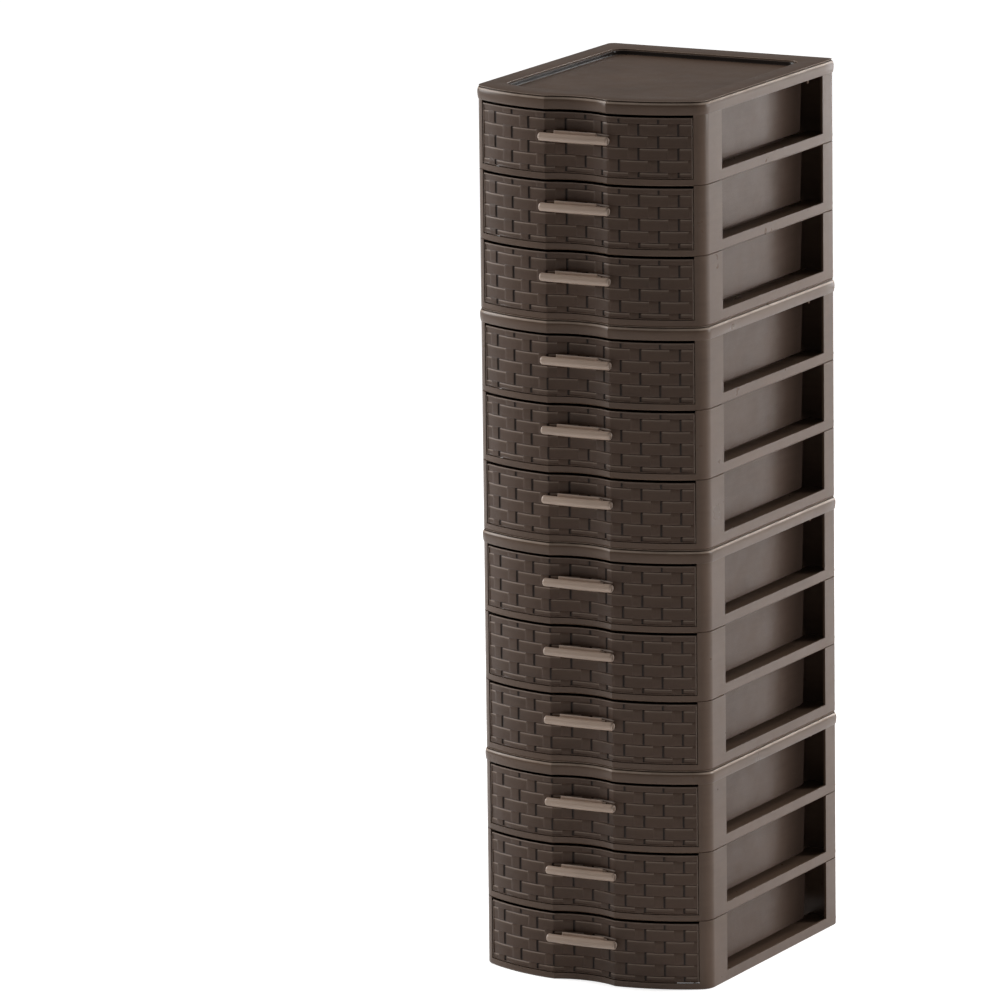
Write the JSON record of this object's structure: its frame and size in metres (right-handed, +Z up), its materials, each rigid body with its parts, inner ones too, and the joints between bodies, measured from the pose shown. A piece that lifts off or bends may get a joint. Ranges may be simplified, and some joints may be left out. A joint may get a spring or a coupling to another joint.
{
  "type": "plastic drawer tower",
  "caption": "Tall narrow tower of stacked open-sided plastic drawer units with bowed, scooped fronts, sliding bins and bowed bar handles; stores craft supplies and parts.",
  "frame": {"origin": "On the floor, under the middle of the tower's bounding box.", "axes": "+Z up along the tower, +X to the right seen from the drawer fronts, -Y out of the drawer fronts."},
  "size_m": [0.279, 0.3644, 0.978],
  "materials": {
    "casing": "fine matt espresso brown moulding",
    "drawer": "satin espresso brown moulding",
    "handle": "satin taupe moulding"
  },
  "bodies": {
    "unit_1": {"unit_1_top_panel": "casing", "unit_1_lower_frame": "casing", "unit_1_middle_frame": "casing", "unit_1_upper_frame": "casing"},
    "unit_1_lower_drawer_body": {"unit_1_lower_drawer": "drawer", "unit_1_lower_handle": "handle"},
    "unit_1_middle_drawer_body": {"unit_1_middle_drawer": "drawer", "unit_1_middle_handle": "handle"},
    "unit_1_upper_drawer_body": {"unit_1_upper_drawer": "drawer", "unit_1_upper_handle": "handle"},
    "unit_2": {"unit_2_top_panel": "casing", "unit_2_lower_frame": "casing", "unit_2_middle_frame": "casing", "unit_2_upper_frame": "casing"},
    "unit_2_lower_drawer_body": {"unit_2_lower_drawer": "drawer", "unit_2_lower_handle": "handle"},
    "unit_2_middle_drawer_body": {"unit_2_middle_drawer": "drawer", "unit_2_middle_handle": "handle"},
    "unit_2_upper_drawer_body": {"unit_2_upper_drawer": "drawer", "unit_2_upper_handle": "handle"},
    "unit_3": {"unit_3_top_panel": "casing", "unit_3_lower_frame": "casing", "unit_3_middle_frame": "casing", "unit_3_upper_frame": "casing"},
    "unit_3_lower_drawer_body": {"unit_3_lower_drawer": "drawer", "unit_3_lower_handle": "handle"},
    "unit_3_middle_drawer_body": {"unit_3_middle_drawer": "drawer", "unit_3_middle_handle": "handle"},
    "unit_3_upper_drawer_body": {"unit_3_upper_drawer": "drawer", "unit_3_upper_handle": "handle"},
    "unit_4": {"unit_4_top_panel": "casing", "unit_4_lower_frame": "casing", "unit_4_middle_frame": "casing", "unit_4_upper_frame": "casing"},
    "unit_4_lower_drawer_body": {"unit_4_lower_drawer": "drawer", "unit_4_lower_handle": "handle"},
    "unit_4_middle_drawer_body": {"unit_4_middle_drawer": "drawer", "unit_4_middle_handle": "handle"},
    "unit_4_upper_drawer_body": {"unit_4_upper_drawer": "drawer", "unit_4_upper_handle": "handle"}
  },
  "joints": [
    {"name": "unit_1_lower_drawer_slide", "type": "slide", "parent": "unit_1", "child": "unit_1_lower_drawer_body", "axis": [0, -1, 0], "range_m": [0, 0.219]},
    {"name": "unit_1_middle_drawer_slide", "type": "slide", "parent": "unit_1", "child": "unit_1_middle_drawer_body", "axis": [0, -1, 0], "range_m": [0, 0.219]},
    {"name": "unit_1_upper_drawer_slide", "type": "slide", "parent": "unit_1", "child": "unit_1_upper_drawer_body", "axis": [0, -1, 0], "range_m": [0, 0.219]},
    {"name": "unit_2_lower_drawer_slide", "type": "slide", "parent": "unit_2", "child": "unit_2_lower_drawer_body", "axis": [0, -1, 0], "range_m": [0, 0.219]},
    {"name": "unit_2_middle_drawer_slide", "type": "slide", "parent": "unit_2", "child": "unit_2_middle_drawer_body", "axis": [0, -1, 0], "range_m": [0, 0.219]},
    {"name": "unit_2_upper_drawer_slide", "type": "slide", "parent": "unit_2", "child": "unit_2_upper_drawer_body", "axis": [0, -1, 0], "range_m": [0, 0.219]},
    {"name": "unit_2_lift_off", "type": "slide", "parent": "unit_1", "child": "unit_2", "axis": [0, 0, 1], "range_m": [0, 0.05]},
    {"name": "unit_3_lower_drawer_slide", "type": "slide", "parent": "unit_3", "child": "unit_3_lower_drawer_body", "axis": [0, -1, 0], "range_m": [0, 0.219]},
    {"name": "unit_3_middle_drawer_slide", "type": "slide", "parent": "unit_3", "child": "unit_3_middle_drawer_body", "axis": [0, -1, 0], "range_m": [0, 0.219]},
    {"name": "unit_3_upper_drawer_slide", "type": "slide", "parent": "unit_3", "child": "unit_3_upper_drawer_body", "axis": [0, -1, 0], "range_m": [0, 0.219]},
    {"name": "unit_3_lift_off", "type": "slide", "parent": "unit_2", "child": "unit_3", "axis": [0, 0, 1], "range_m": [0, 0.05]},
    {"name": "unit_4_lower_drawer_slide", "type": "slide", "parent": "unit_4", "child": "unit_4_lower_drawer_body", "axis": [0, -1, 0], "range_m": [0, 0.219]},
    {"name": "unit_4_middle_drawer_slide", "type": "slide", "parent": "unit_4", "child": "unit_4_middle_drawer_body", "axis": [0, -1, 0], "range_m": [0, 0.219]},
    {"name": "unit_4_upper_drawer_slide", "type": "slide", "parent": "unit_4", "child": "unit_4_upper_drawer_body", "axis": [0, -1, 0], "range_m": [0, 0.219]},
    {"name": "unit_4_lift_off", "type": "slide", "parent": "unit_3", "child": "unit_4", "axis": [0, 0, 1], "range_m": [0, 0.05]}
  ]
}
